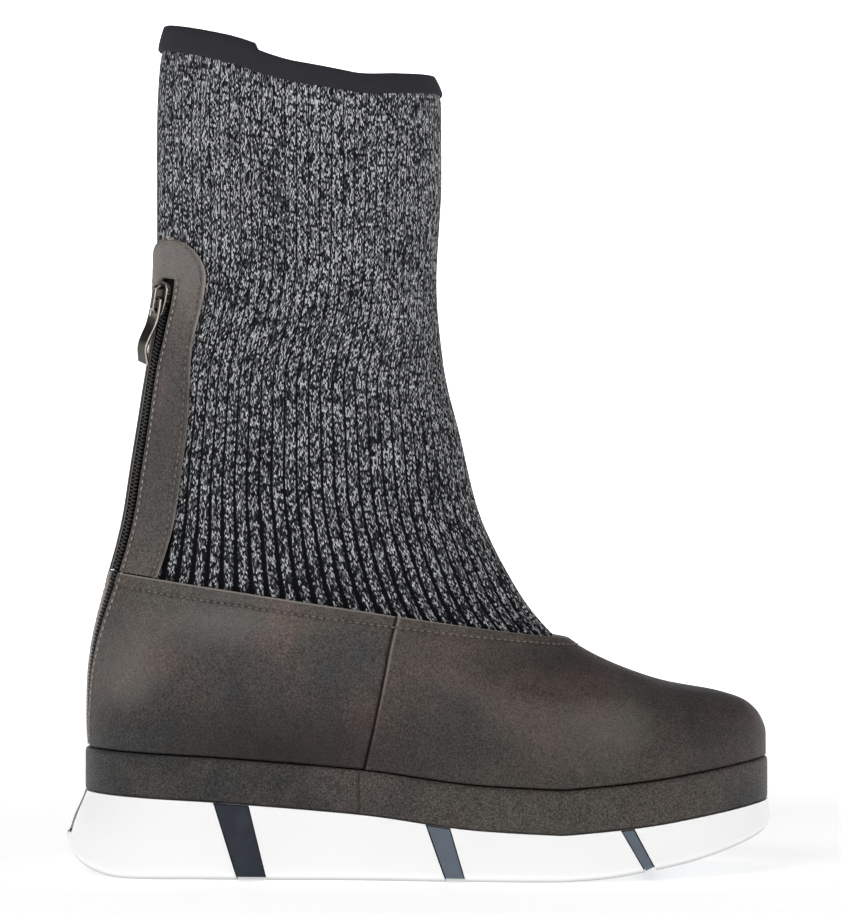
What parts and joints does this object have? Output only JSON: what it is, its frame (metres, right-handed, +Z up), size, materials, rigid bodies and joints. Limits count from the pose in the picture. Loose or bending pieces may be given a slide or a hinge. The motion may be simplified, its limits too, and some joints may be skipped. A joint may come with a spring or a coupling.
{
  "type": "sock boot",
  "caption": "Right-foot flatform sock boot with a hollow leather foot, ribbed knit shaft, back zip with a swinging pull, and a pale sole crossed by dark bands.",
  "frame": {"origin": "on the floor, under the middle of the boot's bounding box", "axes": "+X towards the toe, +Y towards the inner (medial) side of the right foot, +Z up"},
  "size_m": [0.268, 0.097, 0.3217],
  "materials": {
    "white_foam": "satin",
    "navy_rubber": "gloss",
    "grained_leather": "matte",
    "lining": "matte",
    "waxed_leather": "satin",
    "marled_knit": "matte",
    "elastic_tape": "matte",
    "gunmetal": "satin"
  },
  "bodies": {
    "boot": {"outsole": "white_foam", "stripe_heel": "navy_rubber", "stripe_arch": "navy_rubber", "stripe_ball": "navy_rubber", "stripe_back": "navy_rubber", "midsole": "grained_leather", "insole": "lining", "upper": "waxed_leather", "shaft": "marled_knit", "zip_facing": "waxed_leather", "zip_tape_outer": "elastic_tape", "zip_tape_inner": "elastic_tape", "zip_teeth": "elastic_tape", "zip_slider": "gunmetal", "collar_binding": "elastic_tape"},
    "pull": {"zip_pull": "gunmetal"}
  },
  "joints": [
    {"name": "pull_swing", "type": "hinge", "parent": "boot", "child": "pull", "pos_m": [-0.09904, -0.01647, 0.21716], "axis": [-0.5917, 0.7618, 0.2637], "range_deg": [0, 150]}
  ]
}
